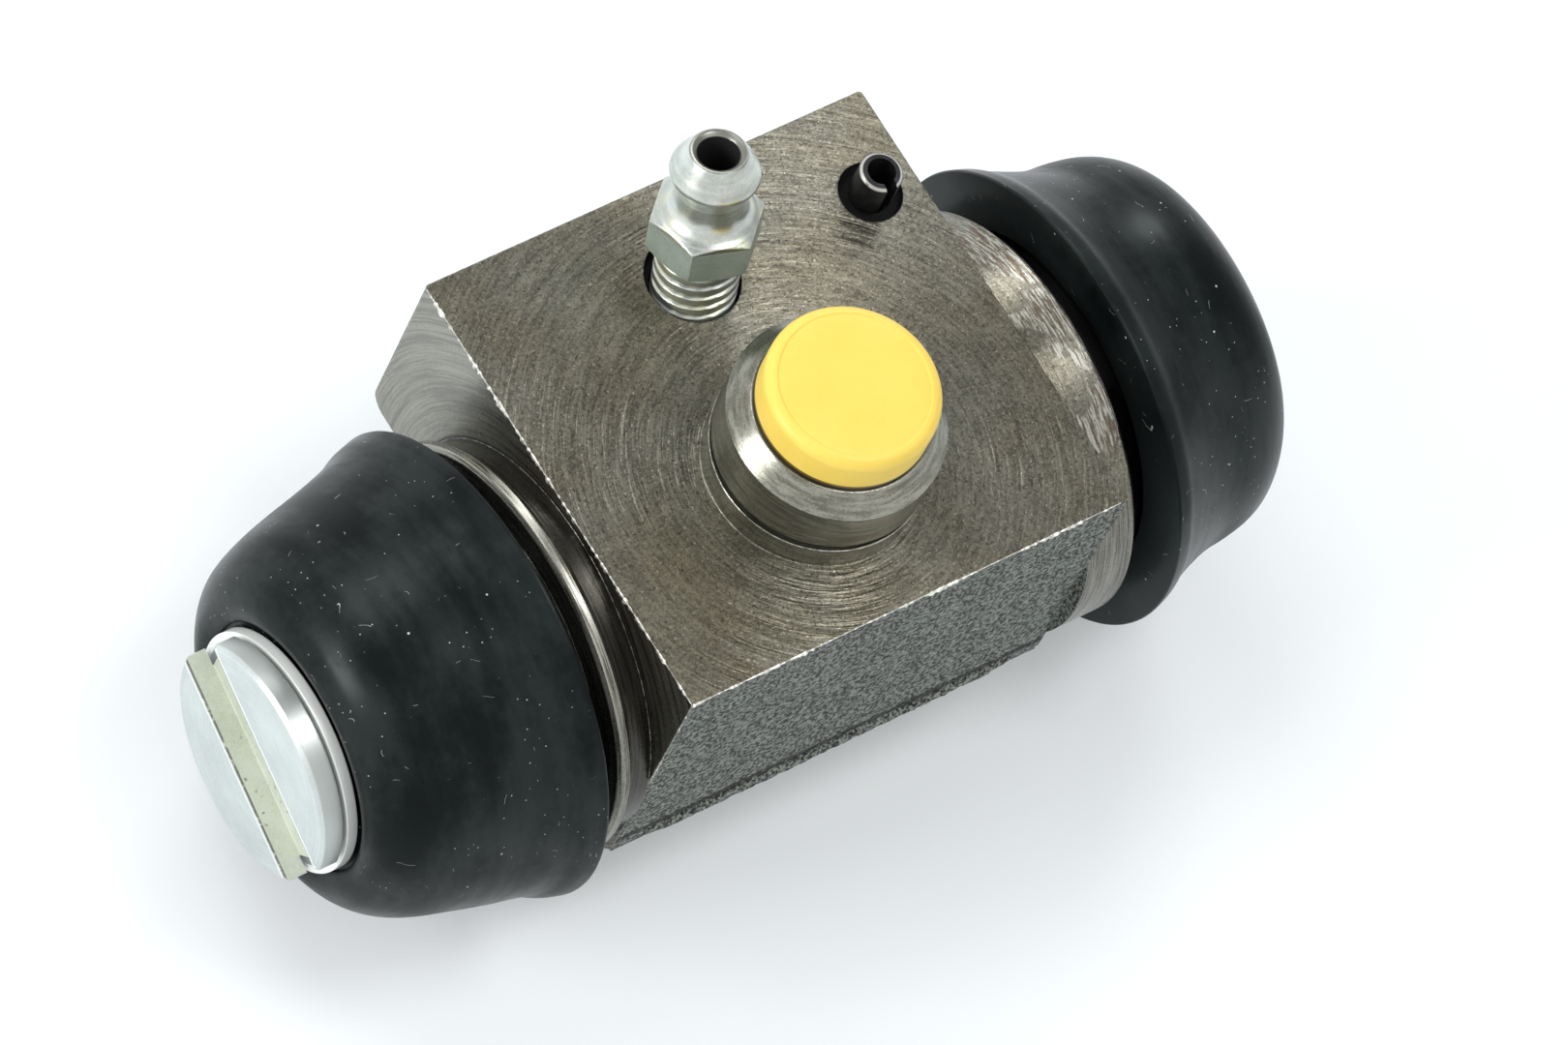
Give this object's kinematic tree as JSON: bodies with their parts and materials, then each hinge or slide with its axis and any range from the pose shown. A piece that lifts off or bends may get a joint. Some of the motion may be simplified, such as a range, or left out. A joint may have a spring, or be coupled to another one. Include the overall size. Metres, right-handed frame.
{
  "type": "wheel cylinder",
  "caption": "Hydraulic drum brake wheel cylinder: cast body with a mounting spigot, opposed slotted pistons under rubber boots, a bleed screw and a plugged inlet.",
  "frame": {"origin": "on the mounting face at the spigot's axis", "axes": "+Z along the spigot away from the body, +X along the bore towards the right piston"},
  "size_m": [0.0782, 0.0373, 0.0455],
  "materials": {
    "housing": "cast sides, machined face and turned ends",
    "piston": "zinc plated",
    "cup": "smooth moulded rubber",
    "expander": "pressed, passivated yellow",
    "spring": "drawn wire",
    "boot": "satin moulded rubber",
    "bleed_screw": "zinc plated",
    "spring_pin": "black oxide",
    "plug": "soft gloss moulded plastic"
  },
  "bodies": {
    "housing_body": {"housing": "housing", "left_boot": "boot", "right_boot": "boot", "spring_pin": "spring_pin", "return_spring": "spring"},
    "left_piston_body": {"left_piston": "piston", "left_piston_cup": "cup", "left_cup_expander": "expander"},
    "right_piston_body": {"right_piston": "piston", "right_piston_cup": "cup", "right_cup_expander": "expander"},
    "bleed_screw_body": {"bleed_screw": "bleed_screw"},
    "inlet_plug_body": {"inlet_plug": "plug"}
  },
  "joints": [
    {"name": "left_piston_slide", "type": "slide", "parent": "housing_body", "child": "left_piston_body", "axis": [-1, 0, 0], "range_m": [-0.003, 0.004], "deforming": ["left_boot", "return_spring"]},
    {"name": "right_piston_slide", "type": "slide", "parent": "housing_body", "child": "right_piston_body", "axis": [1, 0, 0], "range_m": [-0.001, 0.006], "deforming": ["right_boot"]},
    {"name": "bleed_screw_turn", "type": "hinge", "parent": "housing_body", "child": "bleed_screw_body", "pos_m": [0.0001, 0.01518, 0], "axis": [0, 0.225, 0.9744], "range_deg": [0, 180]},
    {"name": "inlet_plug_pull", "type": "slide", "parent": "housing_body", "child": "inlet_plug_body", "axis": [0, 0, 1], "range_m": [0, 0.009]}
  ]
}
